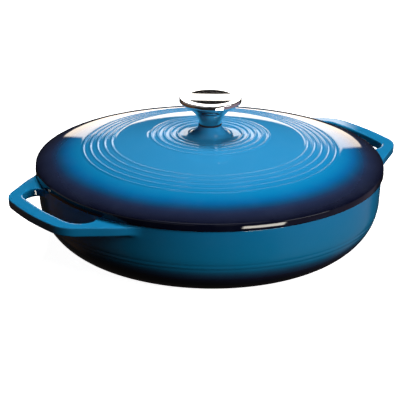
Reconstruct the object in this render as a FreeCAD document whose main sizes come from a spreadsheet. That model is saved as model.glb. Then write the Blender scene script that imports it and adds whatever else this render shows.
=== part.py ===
"""Covered casserole dish: a shallow enamelled cast-iron pot with two loop handles, and a domed lid
with a turned metal knob held by one screw from below. The bowl and its two loops are one casting;
they are three solids that meet face to face on the bowl's outside.

Frame: +Z up, origin on the supporting surface at the centre of the base, handles along +X and -X.
Millimetres and degrees. Every driving dimension is a cell of the sheet "sizes".
"""

import FreeCAD
import Part
import os

import Sketcher

SIZES = {
    # pot
    "pot_height": 66.0,
    "rim_radius": 148.5,
    "pot_wall": 4.2,
    "pot_floor": 4.8,
    "wall_draft": 3.0,
    "corner_radius": 45.0,
    "base_land": 14.0,
    "base_recess": 0.8,
    "rim_round": 1.2,
    "pot_line_width": 2.4,
    "pot_line_depth": 0.4,
    "pot_line_angle": 13.0,
    "pot_line_step": 5.4,
    # loop handles
    "handle_reach": 34.1,
    "handle_drop": 1.6,
    "handle_thickness": 7.6,
    "handle_bar": 13.4,
    "handle_bow_radius": 225.0,
    "handle_bow_half": 31.7,
    "handle_corner_radius": 24.0,
    "handle_flare": 34.5,
    "handle_side_length": 62.0,
    "slot_half_length": 44.5,
    "slot_corner_radius": 14.0,
    "slot_root_radius": 8.0,
    "slot_root_depth": 1.0,
    "handle_edge_round": 2.0,
    # lid
    "lid_overhang": 1.5,
    "lid_edge_height": 6.7,
    "lid_edge_round": 1.8,
    "lid_wall": 3.8,
    "plateau_radius": 36.0,
    "shoulder_radius": 110.0,
    "shoulder_slope": 8.5,
    "dome_radius": 690.0,
    "lip_depth": 5.0,
    "lip_thickness": 3.6,
    "lip_clearance": 0.8,
    "lip_round": 1.0,
    "boss_top_radius": 9.6,
    "boss_height": 8.6,
    "boss_flare_radius": 11.5,
    "ridge_width": 3.2,
    "ridge_height": 0.5,
    "ridge_root": 1.0,
    "inner_ridge_radius": 27.9,
    "inner_ridge_pitch": 5.65,
    "outer_ridge_radius": 84.6,
    "outer_ridge_pitch": 6.1,
    # knob
    "stem_radius": 9.4,
    "stem_height": 0.6,
    "stem_taper": 9.0,
    "stem_flare_radius": 19.0,
    "disc_radius": 26.6,
    "disc_under_slope": 34.0,
    "disc_edge": 4.2,
    "disc_edge_round": 1.0,
    "dish_border": 5.6,
    "dish_depth": 0.5,
    # knob fastening
    "gasket_thickness": 1.0,
    "gasket_radius": 9.9,
    "screw_radius": 2.5,
    "screw_hole_clearance": 0.5,
    "thread_clearance": 0.05,
    "thread_engagement": 9.0,
    "thread_run_out": 2.0,
    "screw_head_radius": 4.9,
    "screw_head_height": 3.4,
    "screw_head_round": 1.4,
    "recess_width": 1.3,
    "recess_half_length": 2.9,
    "recess_depth": 2.0,
    "washer_radius": 7.0,
    "washer_thickness": 1.0,
    "washer_clearance": 0.3,
}
INNER_RIDGES = 5
OUTER_RIDGES = 5
POT_LINES = 2

# Lengths that several pieces share, written as expressions of the sheet
LID_RADIUS = "(sizes.rim_radius + sizes.lid_overhang)"
DOME_CENTRE_R = (
    "(sizes.plateau_radius"
    " - (sizes.dome_radius - sizes.shoulder_radius) * sin(sizes.shoulder_slope))"
)
DOME_CENTRE_Z = (
    "(sizes.lid_edge_height"
    f" - sqrt(sizes.dome_radius ^ 2 - ({LID_RADIUS} - {DOME_CENTRE_R}) ^ 2))"
)
LID_CROWN = (
    f"({DOME_CENTRE_Z} + sizes.dome_radius * cos(sizes.shoulder_slope)"
    " + sizes.shoulder_radius * (1 - cos(sizes.shoulder_slope)))"
)
SEAT = "sizes.pot_height"
LID_UNDERSIDE = f"({SEAT} + {LID_CROWN} - sizes.lid_wall)"
BOSS_TOP = f"({SEAT} + {LID_CROWN} + sizes.boss_height)"
KNOB_BASE = f"({BOSS_TOP} + sizes.gasket_thickness)"
SCREW_HOLE = "(sizes.screw_radius + sizes.screw_hole_clearance)"
KNOB_BORE = "(sizes.screw_radius + sizes.thread_clearance)"
WALL_FOOT = "(sizes.rim_radius - (sizes.pot_height - sizes.corner_radius) * tan(sizes.wall_draft))"
SLOT_ROOT_Y = "(sizes.slot_half_length - sizes.slot_root_radius)"
SLOT_ROOT_X = (
    "(sqrt((sizes.rim_radius + sizes.slot_root_radius - sizes.slot_root_depth) ^ 2"
    f" - {SLOT_ROOT_Y} ^ 2))"
)
SLOT_INSIDE = f"({SLOT_ROOT_X} - sizes.slot_root_radius)"
PLANES = {"XY": "XY_Plane", "XZ": "XZ_Plane", "YZ": "YZ_Plane"}

doc = FreeCAD.newDocument("covered_casserole")
sheet = doc.addObject("Spreadsheet::Sheet", "sizes")


def fill_sheet():
    """One row for each driving dimension: its name, and its value in a cell that has the name as alias."""
    for row, (name, value) in enumerate(SIZES.items(), start=1):
        sheet.set(f"A{row}", name)
        sheet.set(f"B{row}", str(value))
        sheet.setAlias(f"B{row}", name)
    doc.recompute()


def value_of(expression):
    """The number that an expression of the sheet gives now."""
    found = sheet.evalExpression(expression.replace("sizes.", ""))
    return float(getattr(found, "Value", found))


def new_body(label, height=None):
    """A body with its own label, lifted to an expression of the sheet."""
    body = doc.addObject("PartDesign::Body", label)
    body.Label = label
    if height is not None:
        body.setExpression("Placement.Base.z", height)
    return body


def origin_feature(body, role):
    """An axis or plane of the body's own origin."""
    return next(f for f in body.Origin.OriginFeatures if f.Role == role)


def new_sketch(body, name, plane, height=None):
    """An empty sketch on one of the body's origin planes, raised along the plane's normal."""
    sketch = body.newObject("Sketcher::SketchObject", name)
    sketch.AttachmentSupport = [(origin_feature(body, PLANES[plane]), "")]
    sketch.MapMode = "FlatFace"
    if height is not None:
        sketch.setExpression("AttachmentOffset.Base.z", height)
    return sketch


def pin_point(sketch, geometry, end, place):
    """Ties one end of a curve to a pair of expressions, or to an axis where the expression is 0."""
    for kind, axis, expression in (("DistanceX", -2, place[0]), ("DistanceY", -1, place[1])):
        if expression == "0":
            sketch.addConstraint(Sketcher.Constraint("PointOnObject", geometry, end, axis))
            continue
        constraint = Sketcher.Constraint(kind, -1, 1, geometry, end, value_of(expression))
        index = sketch.addConstraint(constraint)
        sketch.setExpression(f"Constraints[{index}]", expression)


def arc_between(start, end, radius, turn):
    """The short arc from start to end: turn is +1 where it runs anticlockwise and -1 where clockwise."""
    chord = end - start
    side = FreeCAD.Vector(-chord.y, chord.x, 0).normalize() * turn
    centre = (start + end) / 2 + side * max(radius**2 - chord.Length**2 / 4, 0) ** 0.5
    middle = centre - side * radius
    return Part.Arc(start, middle, end)


def closed_outline(sketch, corners):
    """Draws one closed outline. Each corner is (x, y) or (x, y, radius, turn), where the radius and
    turn are those of the arc that leads on to the next corner; without them the edge is straight."""
    points = [FreeCAD.Vector(value_of(c[0]), value_of(c[1]), 0) for c in corners]
    first = sketch.GeometryCount
    for i, corner in enumerate(corners):
        start, end = points[i], points[(i + 1) % len(points)]
        if len(corner) == 2:
            sketch.addGeometry(Part.LineSegment(start, end))
        else:
            sketch.addGeometry(arc_between(start, end, value_of(corner[2]), corner[3]))
    # a clockwise arc is stored anticlockwise, so its own start is the outline's end
    ends = [(2, 1) if len(c) == 4 and c[3] < 0 else (1, 2) for c in corners]
    for i, corner in enumerate(corners):
        following = (i + 1) % len(corners)
        sketch.addConstraint(
            Sketcher.Constraint("Coincident", first + i, ends[i][1], first + following, ends[following][0])
        )
        pin_point(sketch, first + i, ends[i][0], corner)
        if len(corner) == 4:
            index = sketch.addConstraint(Sketcher.Constraint("Radius", first + i, value_of(corner[2])))
            sketch.setExpression(f"Constraints[{index}]", corner[2])


def revolve(body, name, sketch, cut=False):
    """Turns a sketch on the XZ plane once around Z, to add or to cut."""
    feature = body.newObject("PartDesign::Groove" if cut else "PartDesign::Revolution", name)
    feature.Profile = sketch
    feature.ReferenceAxis = (sketch, ["V_Axis"])
    feature.Angle = 360.0
    doc.recompute()
    return feature


def pad(body, name, sketch, length):
    """Raises a sketch by an expression of the sheet."""
    feature = body.newObject("PartDesign::Pad", name)
    feature.Profile = sketch
    feature.setExpression("Length", length)
    doc.recompute()
    return feature


def fillet(body, name, radius, picks):
    """Rounds the edges of the body's tip that picks() accepts, by an expression of the sheet."""
    base = body.Tip
    edges = [f"Edge{i}" for i, edge in enumerate(base.Shape.Edges, start=1) if picks(edge)]
    feature = body.newObject("PartDesign::Fillet", name)
    feature.Base = (base, edges)
    feature.setExpression("Radius", radius)
    doc.recompute()
    return feature


def is_circle(edge, radius=None, height=None, tolerance=0.01):
    """Whether an edge is a circle round Z, with this radius and at this height where they're given."""
    if edge.Degenerated or not isinstance(edge.Curve, Part.Circle):
        return False
    centre = edge.Curve.Center
    return (
        (centre.x**2 + centre.y**2) ** 0.5 < tolerance
        and (radius is None or abs(edge.Curve.Radius - radius) < tolerance)
        and (height is None or abs(centre.z - height) < tolerance)
    )


def pot_profile():
    """Outside of the pot from the axis to the rim: flat land round a shallow recess, a large
    corner and a wall that opens slightly upwards."""
    centre_r = f"({WALL_FOOT} - sizes.corner_radius)"
    tangent_r = f"({centre_r} + sizes.corner_radius * cos(sizes.wall_draft))"
    tangent_z = "(sizes.corner_radius - sizes.corner_radius * sin(sizes.wall_draft))"
    return [
        ("0", "sizes.base_recess"),
        (f"{centre_r} - sizes.base_land", "sizes.base_recess"),
        (f"{centre_r} - sizes.base_land + sizes.base_recess", "0"),
        (centre_r, "0", "sizes.corner_radius", 1),
        (tangent_r, tangent_z),
        ("sizes.rim_radius", "sizes.pot_height"),
        ("0", "sizes.pot_height"),
    ]


def cavity_profile():
    """Inside of the pot, one wall in from the outside and one floor up from the base."""
    radius = "(sizes.corner_radius - sizes.pot_wall)"
    centre_r = f"({WALL_FOOT} - sizes.corner_radius)"
    centre_z = f"(sizes.pot_floor + {radius})"
    tangent_r = f"({centre_r} + {radius} * cos(sizes.wall_draft))"
    tangent_z = f"({centre_z} - {radius} * sin(sizes.wall_draft))"
    top_r = f"({tangent_r} + (sizes.pot_height - {tangent_z}) * tan(sizes.wall_draft))"
    return [
        ("0", "sizes.pot_floor"),
        (centre_r, "sizes.pot_floor", radius, 1),
        (tangent_r, tangent_z),
        (top_r, "sizes.pot_height"),
        ("0", "sizes.pot_height"),
    ]


def handle_outline():
    """Plan of one handle's outside: a bowed grip, two round corners and two sides that flare towards
    the pot and end inside its wall."""
    reach = "(sizes.rim_radius + sizes.handle_reach)"
    bow = "asin(sizes.handle_bow_half / sizes.handle_bow_radius)"
    bow_x = f"({reach} - sizes.handle_bow_radius * (1 - cos({bow})))"
    centre_x = f"({bow_x} - sizes.handle_corner_radius * cos({bow}))"
    centre_y = f"(sizes.handle_bow_half - sizes.handle_corner_radius * sin({bow}))"
    turn_x = f"({centre_x} + sizes.handle_corner_radius * sin(sizes.handle_flare))"
    turn_y = f"({centre_y} + sizes.handle_corner_radius * cos(sizes.handle_flare))"
    root_x = f"({turn_x} - sizes.handle_side_length * cos(sizes.handle_flare))"
    root_y = f"({turn_y} + sizes.handle_side_length * sin(sizes.handle_flare))"
    return [
        (root_x, f"-1 * {root_y}"),
        (turn_x, f"-1 * {turn_y}", "sizes.handle_corner_radius", 1),
        (bow_x, "-1 * sizes.handle_bow_half", "sizes.handle_bow_radius", 1),
        (bow_x, "sizes.handle_bow_half", "sizes.handle_corner_radius", 1),
        (turn_x, turn_y),
        (root_x, root_y),
    ]


def slot_outline():
    """Plan of the finger slot: it follows the grip outside, has round corners, and its inner side
    lies inside the pot's wall."""
    radius = "(sizes.handle_bow_radius - sizes.handle_bar)"
    centre_x = "(sizes.rim_radius + sizes.handle_reach - sizes.handle_bow_radius)"
    inner_half = "(sizes.slot_half_length - sizes.slot_corner_radius)"
    reach_to_corner = f"({radius} - sizes.slot_corner_radius)"
    corner_x = f"({centre_x} + sqrt({reach_to_corner} ^ 2 - {inner_half} ^ 2))"
    touch_x = f"({centre_x} + ({corner_x} - {centre_x}) * {radius} / {reach_to_corner})"
    touch_y = f"({inner_half} * {radius} / {reach_to_corner})"
    return [
        (SLOT_INSIDE, f"-1 * {SLOT_ROOT_Y}", "sizes.slot_root_radius", 1),
        (SLOT_ROOT_X, "-1 * sizes.slot_half_length"),
        (corner_x, "-1 * sizes.slot_half_length", "sizes.slot_corner_radius", 1),
        (touch_x, f"-1 * {touch_y}", radius, 1),
        (touch_x, touch_y, "sizes.slot_corner_radius", 1),
        (corner_x, "sizes.slot_half_length"),
        (SLOT_ROOT_X, "sizes.slot_half_length", "sizes.slot_root_radius", 1),
        (SLOT_INSIDE, SLOT_ROOT_Y),
    ]


def build_pot():
    """The bowl of the pot casting: body, cavity, rounded rim and two fine lines outside."""
    body = new_body("pot")
    sketch = new_sketch(body, "pot_outside", "XZ")
    closed_outline(sketch, pot_profile())
    revolve(body, "pot_blank", sketch)
    sketch = new_sketch(body, "cavity_profile", "XZ")
    closed_outline(sketch, cavity_profile())
    revolve(body, "cavity", sketch, cut=True)
    height = value_of("sizes.pot_height")
    fillet(body, "rim_edges", "sizes.rim_round", lambda edge: is_circle(edge, height=height))
    sketch = new_sketch(body, "pot_line_profiles", "XZ")
    for i in range(POT_LINES):
        closed_outline(sketch, pot_line(i))
    revolve(body, "pot_lines", sketch, cut=True)
    return body


def build_handle(label, turn):
    """One loop handle of the pot casting, cut to the bowl's outside, turned round Z to its side."""
    body = new_body(label)
    body.Placement = FreeCAD.Placement(
        FreeCAD.Vector(), FreeCAD.Rotation(FreeCAD.Vector(0, 0, 1), turn)
    )
    base = "(sizes.pot_height - sizes.handle_drop - sizes.handle_thickness)"
    sketch = new_sketch(body, f"{label}_plan", "XY", base)
    closed_outline(sketch, handle_outline())
    closed_outline(sketch, slot_outline())
    pad(body, f"{label}_loop", sketch, "sizes.handle_thickness")
    low, high = value_of(base), value_of("sizes.pot_height - sizes.handle_drop")
    root = value_of("sizes.rim_radius") * 0.85

    def on_edge(edge):
        box = edge.BoundBox
        level = box.ZLength < 0.01 and min(abs(box.ZMin - low), abs(box.ZMin - high)) < 0.01
        return level and box.XMax > root

    fillet(body, f"{label}_edges", "sizes.handle_edge_round", on_edge)
    sketch = new_sketch(body, f"{label}_bowl_side", "XZ")
    closed_outline(sketch, pot_profile())
    revolve(body, f"{label}_bowl_cut", sketch, cut=True)
    return body


def pot_line(number):
    """Cross-section of one fine line that is cut round the pot's large corner: a shallow arc
    between two points of the surface, closed outside it."""
    centre_r = f"({WALL_FOOT} - sizes.corner_radius)"
    angle = f"(sizes.pot_line_angle + {number} * sizes.pot_line_step)"
    spread = "(sizes.pot_line_width / sizes.corner_radius * 90 / pi)"
    outer = "(sizes.corner_radius + sizes.pot_line_depth)"
    radius = (
        "((sizes.pot_line_width ^ 2 / 4 + sizes.pot_line_depth ^ 2) / (2 * sizes.pot_line_depth))"
    )

    def place(reach, turn):
        return (
            f"{centre_r} + {reach} * cos({angle} {turn})",
            f"sizes.corner_radius - {reach} * sin({angle} {turn})",
        )

    return [
        (*place("sizes.corner_radius", f"+ {spread}"), radius, -1),
        place("sizes.corner_radius", f"- {spread}"),
        place(outer, f"- {spread}"),
        place(outer, f"+ {spread}"),
    ]


def shoulder_end(inset):
    """Where the lid's shoulder arc meets its large arc, an inset below the outside surface."""
    reach = f"(sizes.shoulder_radius - {inset})"
    return (
        f"(sizes.plateau_radius + {reach} * sin(sizes.shoulder_slope))",
        f"({LID_CROWN} - sizes.shoulder_radius + {reach} * cos(sizes.shoulder_slope))",
    )


def dome_height(radius, inset="0"):
    """Height above the seat of the lid's large arc at a radius, an inset below the outside surface."""
    reach = f"(sizes.dome_radius - {inset})"
    return f"({DOME_CENTRE_Z} + sqrt({reach} ^ 2 - ({radius} - {DOME_CENTRE_R}) ^ 2))"


def lid_profile():
    """Section of the lid from its screw hole outwards over the boss, the crown, the dome, the edge,
    the seat, the locating lip and back along the underside."""
    flare_foot = (
        "(sizes.boss_top_radius + sqrt(sizes.boss_flare_radius ^ 2"
        " - (sizes.boss_flare_radius - sizes.boss_height) ^ 2))"
    )
    wall = "sizes.lid_wall"
    lip_outer = (
        "(sizes.rim_radius - sizes.pot_wall - sizes.lip_depth * tan(sizes.wall_draft)"
        " - sizes.lip_clearance)"
    )
    lip_inner = f"({lip_outer} - sizes.lip_thickness)"
    return [
        (SCREW_HOLE, f"{LID_CROWN} + sizes.boss_height"),
        ("sizes.boss_top_radius", f"{LID_CROWN} + sizes.boss_height", "sizes.boss_flare_radius", 1),
        (flare_foot, LID_CROWN),
        ("sizes.plateau_radius", LID_CROWN, "sizes.shoulder_radius", -1),
        (*shoulder_end("0"), "sizes.dome_radius", -1),
        (LID_RADIUS, "sizes.lid_edge_height"),
        (LID_RADIUS, "0"),
        (lip_outer, "0"),
        (lip_outer, "-1 * sizes.lip_depth"),
        (lip_inner, "-1 * sizes.lip_depth"),
        (lip_inner, dome_height(lip_inner, wall), f"(sizes.dome_radius - {wall})", 1),
        (*shoulder_end(wall), f"(sizes.shoulder_radius - {wall})", 1),
        ("sizes.plateau_radius", f"{LID_CROWN} - {wall}"),
        (SCREW_HOLE, f"{LID_CROWN} - {wall}"),
    ]


def ridge(radius, height, slope):
    """Cross-section of one raised ring where the lid's surface has this height and slope: a shallow
    arc over a root that stays inside the wall."""
    half = "sizes.ridge_width / 2"
    drop = f"({half} * tan({slope}))"
    foot = f"({height} - {drop})"
    bow = f"(sizes.ridge_height + {drop})"
    arc = f"((({half}) ^ 2 + {bow} ^ 2) / (2 * {bow}))"
    return [
        (f"{radius} - {half}", foot, arc, -1),
        (f"{radius} + {half}", foot),
        (f"{radius} + {half}", f"{foot} - sizes.ridge_root"),
        (f"{radius} - {half}", f"{foot} - sizes.ridge_root"),
    ]


def ridge_places():
    """Radius, surface height and slope of each raised ring: the inner group stands on the crown and
    its shoulder, the outer group on the large arc."""
    for i in range(INNER_RIDGES):
        radius = f"(sizes.inner_ridge_radius + {i} * sizes.inner_ridge_pitch)"
        past = f"(max({radius}; sizes.plateau_radius) - sizes.plateau_radius)"
        shoulder = f"sqrt(sizes.shoulder_radius ^ 2 - {past} ^ 2)"
        height = f"({LID_CROWN} - sizes.shoulder_radius + {shoulder})"
        yield radius, height, f"asin({past} / sizes.shoulder_radius)"
    for i in range(OUTER_RIDGES):
        radius = f"(sizes.outer_ridge_radius + {i} * sizes.outer_ridge_pitch)"
        slope = f"asin(({radius} - {DOME_CENTRE_R}) / sizes.dome_radius)"
        yield radius, dome_height(radius), slope


def build_lid():
    """The lid casting: domed plate with boss, locating lip and two groups of raised rings."""
    body = new_body("lid", SEAT)
    sketch = new_sketch(body, "lid_section", "XZ")
    closed_outline(sketch, lid_profile())
    revolve(body, "lid_blank", sketch)
    sketch = new_sketch(body, "ridge_sections", "XZ")
    for place in ridge_places():
        closed_outline(sketch, ridge(*place))
    revolve(body, "ridges", sketch)

    outer = value_of(LID_RADIUS)
    top = value_of("sizes.lid_edge_height")
    depth = value_of("sizes.lip_depth")
    fillet(body, "lid_edge", "sizes.lid_edge_round", lambda edge: is_circle(edge, outer, top))

    def below_seat(edge):
        return is_circle(edge, height=-depth) or is_circle(edge, outer, 0)

    fillet(body, "lip_edges", "sizes.lip_round", below_seat)
    return body


def knob_profile():
    """Section of the knob from its bore outwards: slim stem, trumpet flare, round disc with a
    shallow dish inside a broad flat border."""
    taper, under = "sizes.stem_taper", "sizes.disc_under_slope"
    flare = "sizes.stem_flare_radius"
    stem_top_r = f"(sizes.stem_radius + sizes.stem_height * tan({taper}))"
    under_r = f"({stem_top_r} + {flare} * (cos({taper}) - sin({under})))"
    under_z = f"(sizes.stem_height + {flare} * (cos({under}) - sin({taper})))"
    edge_z = f"({under_z} + (sizes.disc_radius - {under_r}) * tan({under}))"
    top_z = f"({edge_z} + sizes.disc_edge)"
    dish_r = "(sizes.disc_radius - sizes.dish_border)"
    dish_bow = f"(({dish_r} ^ 2 + sizes.dish_depth ^ 2) / (2 * sizes.dish_depth))"
    bore_top = "(sizes.thread_engagement + sizes.thread_run_out)"
    return [
        (KNOB_BORE, "0"),
        ("sizes.stem_radius", "0"),
        (stem_top_r, "sizes.stem_height", flare, -1),
        (under_r, under_z),
        ("sizes.disc_radius", edge_z),
        ("sizes.disc_radius", top_z),
        (dish_r, top_z, dish_bow, -1),
        ("0", f"{top_z} - sizes.dish_depth"),
        ("0", bore_top),
        (KNOB_BORE, bore_top),
    ]


def build_knob():
    """The turned knob, with a blind tapped hole from below."""
    body = new_body("knob", KNOB_BASE)
    sketch = new_sketch(body, "knob_section", "XZ")
    closed_outline(sketch, knob_profile())
    revolve(body, "knob_blank", sketch)
    outer = value_of("sizes.disc_radius")
    fillet(body, "disc_edges", "sizes.disc_edge_round", lambda edge: is_circle(edge, outer))
    return body


def build_ring(label, height, outer, inner, thickness):
    """A flat ring: the gasket under the knob or the washer under the screw head."""
    body = new_body(label, height)
    sketch = new_sketch(body, f"{label}_plan", "XY")
    for radius in (outer, inner):
        circle = Part.Circle(FreeCAD.Vector(), FreeCAD.Vector(0, 0, 1), value_of(radius))
        index = sketch.addGeometry(circle)
        sketch.addConstraint(Sketcher.Constraint("Coincident", index, 3, -1, 1))
        held = sketch.addConstraint(Sketcher.Constraint("Radius", index, value_of(radius)))
        sketch.setExpression(f"Constraints[{held}]", radius)
    pad(body, f"{label}_plate", sketch, thickness)
    return body


def screw_profile():
    """Section of the screw: pan head below its own origin, shank above it."""
    length = (
        "(sizes.washer_thickness + sizes.lid_wall + sizes.boss_height + sizes.gasket_thickness"
        " + sizes.thread_engagement)"
    )
    return [
        ("0", "-1 * sizes.screw_head_height"),
        ("sizes.screw_head_radius", "-1 * sizes.screw_head_height"),
        ("sizes.screw_head_radius", "0"),
        ("sizes.screw_radius", "0"),
        ("sizes.screw_radius", length),
        ("0", length),
    ]


def cross_outline():
    """Plan of the screw's cross recess."""
    long, short = "sizes.recess_half_length", "sizes.recess_width / 2"
    quarter = [(long, short), (short, short), (short, long)]
    signs = [(1, 1), (-1, 1), (-1, -1), (1, -1)]
    corners = []
    for turn, (sign_x, sign_y) in enumerate(signs):
        run = quarter if turn % 2 == 0 else quarter[::-1]
        corners += [(f"{sign_x} * {x}", f"{sign_y} * {y}") for x, y in run]
    return corners


def build_screw():
    """The pan-head machine screw that holds the knob from inside the lid."""
    body = new_body("knob_screw", f"{LID_UNDERSIDE} - sizes.washer_thickness")
    sketch = new_sketch(body, "screw_section", "XZ")
    closed_outline(sketch, screw_profile())
    revolve(body, "screw_blank", sketch)
    outer = value_of("sizes.screw_head_radius")
    foot = -value_of("sizes.screw_head_height")
    fillet(body, "head_edge", "sizes.screw_head_round", lambda edge: is_circle(edge, outer, foot))
    sketch = new_sketch(body, "recess_plan", "XY", "-1 * sizes.screw_head_height")
    closed_outline(sketch, cross_outline())
    before = body.Tip.Shape.Volume
    pocket = body.newObject("PartDesign::Pocket", "recess")
    pocket.Profile = sketch
    pocket.Reversed = True
    pocket.setExpression("Length", "sizes.recess_depth")
    doc.recompute()
    if pocket.Shape.Volume >= before:
        raise RuntimeError("the screw's recess cuts nothing")
    return body


def check_and_write(bodies):
    """Stops if any object of the document failed or a body isn't one valid solid, then writes them."""
    doc.recompute()
    failed = [o.Name for o in doc.Objects if {"Invalid", "Error"} & set(o.State)]
    if failed:
        raise RuntimeError(f"objects that failed: {failed}")
    for body in bodies:
        shape = body.Shape
        if shape.isNull() or not shape.isValid() or len(shape.Solids) != 1:
            raise RuntimeError(f"{body.Label} isn't one valid solid")
    os.makedirs("parts", exist_ok=True)
    for body in bodies:
        body.Shape.exportStep(f"parts/{body.Label}.step")
        box = body.Shape.BoundBox
        print(
            f"{body.Label:18s} {body.Shape.Volume / 1000:8.2f} cm3"
            f"  x {box.XMin:.1f}..{box.XMax:.1f}  z {box.ZMin:.2f}..{box.ZMax:.2f}"
        )


fill_sheet()
check_and_write(
    [
        build_pot(),
        build_handle("handle_right", 0),
        build_handle("handle_left", 180),
        build_lid(),
        build_knob(),
        build_ring("knob_gasket", BOSS_TOP, "sizes.gasket_radius", SCREW_HOLE, "sizes.gasket_thickness"),
        build_screw(),
        build_ring(
            "screw_washer",
            f"{LID_UNDERSIDE} - sizes.washer_thickness",
            "sizes.washer_radius",
            "(sizes.screw_radius + sizes.washer_clearance)",
            "sizes.washer_thickness",
        ),
    ]
)
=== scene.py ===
"""Looks of a covered casserole dish: the enamelled pot with its loop handles, the ringed lid
with its polished knob and fastening, and the studio they stand in."""

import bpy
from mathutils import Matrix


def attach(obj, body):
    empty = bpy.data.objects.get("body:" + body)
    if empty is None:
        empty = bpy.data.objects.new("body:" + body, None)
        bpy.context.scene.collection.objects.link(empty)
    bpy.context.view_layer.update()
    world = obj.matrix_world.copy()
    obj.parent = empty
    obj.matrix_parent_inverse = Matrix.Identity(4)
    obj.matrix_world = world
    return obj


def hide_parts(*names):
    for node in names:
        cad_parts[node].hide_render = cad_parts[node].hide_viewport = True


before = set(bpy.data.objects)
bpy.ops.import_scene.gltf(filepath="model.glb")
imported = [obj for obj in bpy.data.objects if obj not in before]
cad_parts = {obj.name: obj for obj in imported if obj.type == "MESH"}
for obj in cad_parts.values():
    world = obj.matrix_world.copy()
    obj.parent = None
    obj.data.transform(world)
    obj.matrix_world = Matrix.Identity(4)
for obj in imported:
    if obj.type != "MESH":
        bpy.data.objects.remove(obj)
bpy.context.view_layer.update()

import logging
import math
from collections.abc import Callable, Iterable, Sequence
from dataclasses import dataclass
from enum import Enum
from typing import Any

import bmesh
import bpy
from mathutils import Matrix, Vector

LOG = logging.getLogger("casserole")
MM = 0.001
MERGE = 1e-6
DEGREES = 180.0 / math.pi
Point = tuple[float, float]
Colour = tuple[float, float, float]
Stops = tuple[tuple[float, Colour], ...]
Test = Callable[[Vector], bool]


class Body(Enum):
    """The two rigid bodies that pieces ride on."""

    POT = "pot"
    LID = "lid"


class Slot(Enum):
    """The names of the record's material slots for the new pieces; nothing here fills them."""

    POT_ENAMEL = "pot_enamel"
    LID_ENAMEL = "lid_enamel"
    KNOB_METAL = "knob_metal"


# ---- Shader maths


class Wire:
    """One socket of a material, with Python's operators for its maths."""

    def __init__(self, tree: "Bench", socket: Any) -> None:
        """Keeps the bench that adds nodes, and the socket itself."""
        self.tree = tree
        self.socket = socket

    def _maths(self, operation: str, *values: "Wire | float") -> "Wire":
        """Adds one Math node on these values."""
        sockets = dict(enumerate(values))
        return self.tree.node("ShaderNodeMath", {"operation": operation}, sockets)

    def __add__(self, other: "Wire | float") -> "Wire":
        """The sum."""
        return self._maths("ADD", self, other)

    def __radd__(self, other: float) -> "Wire":
        """The sum, with a number first."""
        return self._maths("ADD", other, self)

    def __sub__(self, other: "Wire | float") -> "Wire":
        """The difference."""
        return self._maths("SUBTRACT", self, other)

    def __rsub__(self, other: float) -> "Wire":
        """The difference, with a number first."""
        return self._maths("SUBTRACT", other, self)

    def __mul__(self, other: "Wire | float") -> "Wire":
        """The product."""
        return self._maths("MULTIPLY", self, other)

    def __rmul__(self, other: float) -> "Wire":
        """The product, with a number first."""
        return self._maths("MULTIPLY", other, self)

    def __truediv__(self, other: "Wire | float") -> "Wire":
        """The quotient."""
        return self._maths("DIVIDE", self, other)

    def root(self) -> "Wire":
        """The square root."""
        return self._maths("SQRT", self)

    def lift(self) -> "Wire":
        """The angle in degrees that has this sine."""
        return self._maths("ARCSINE", self) * DEGREES

    def turn(self, ahead: "Wire") -> "Wire":
        """The angle in degrees from straight ahead, where this is the sideways part."""
        return self._maths("ARCTAN2", self, ahead) * DEGREES

    def above(self, edge: float, fade: float) -> "Wire":
        """A soft step: 0 below the edge and 1 a fade past it."""
        sockets = {0: self, 1: edge, 2: edge + fade}
        return self.tree.node("ShaderNodeMapRange", {"interpolation_type": "SMOOTHSTEP"}, sockets)

    def below(self, edge: float, fade: float) -> "Wire":
        """A soft step: 1 below the edge and 0 a fade past it."""
        return 1.0 - self.above(edge, fade)


class Bench:
    """A node tree with an output, and one method for every other node that it gets."""

    def __init__(self, owner: Any, output: str) -> None:
        """Empties the owner's node tree and adds the output node.

        Args:
            owner: The material or world.
            output: The output node's type.
        """
        owner.use_nodes = True
        self.tree = owner.node_tree
        self.tree.nodes.clear()
        self.output = self.tree.nodes.new(output)

    def node(
        self, kind: str, settings: dict[str, Any], sockets: dict[Any, Any], out: int | str = 0
    ) -> Wire:
        """Adds a node.

        Args:
            kind: The node's type.
            settings: Its properties. "stops" fills a colour ramp.
            sockets: Values or wires, by the input's name or number.
            out: Which output to return.

        Returns:
            The chosen output.
        """
        node = self.tree.nodes.new(kind)
        for name, value in settings.items():
            if name == "stops":
                self._fill_ramp(node.color_ramp, value)
            else:
                setattr(node, name, value)
        for name, value in sockets.items():
            if isinstance(value, Wire):
                self.tree.links.new(value.socket, node.inputs[name])
            else:
                node.inputs[name].default_value = value
        return Wire(self, node.outputs[out])

    @staticmethod
    def _fill_ramp(ramp: Any, stops: Stops) -> None:
        """Gives a colour ramp its stops.

        Args:
            ramp: The node's ramp.
            stops: Places from 0 to 1, each with its colour.
        """
        while len(ramp.elements) < len(stops):
            ramp.elements.new(1.0)
        for element, (place, colour) in zip(ramp.elements, stops):
            element.position = place
            element.color = (*colour, 1.0)

    def along(self, vector: Wire, axis: Sequence[float]) -> Wire:
        """How far a vector reaches along an axis."""
        sockets = {0: vector, 1: tuple(axis)}
        return self.node("ShaderNodeVectorMath", {"operation": "DOT_PRODUCT"}, sockets, "Value")


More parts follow.
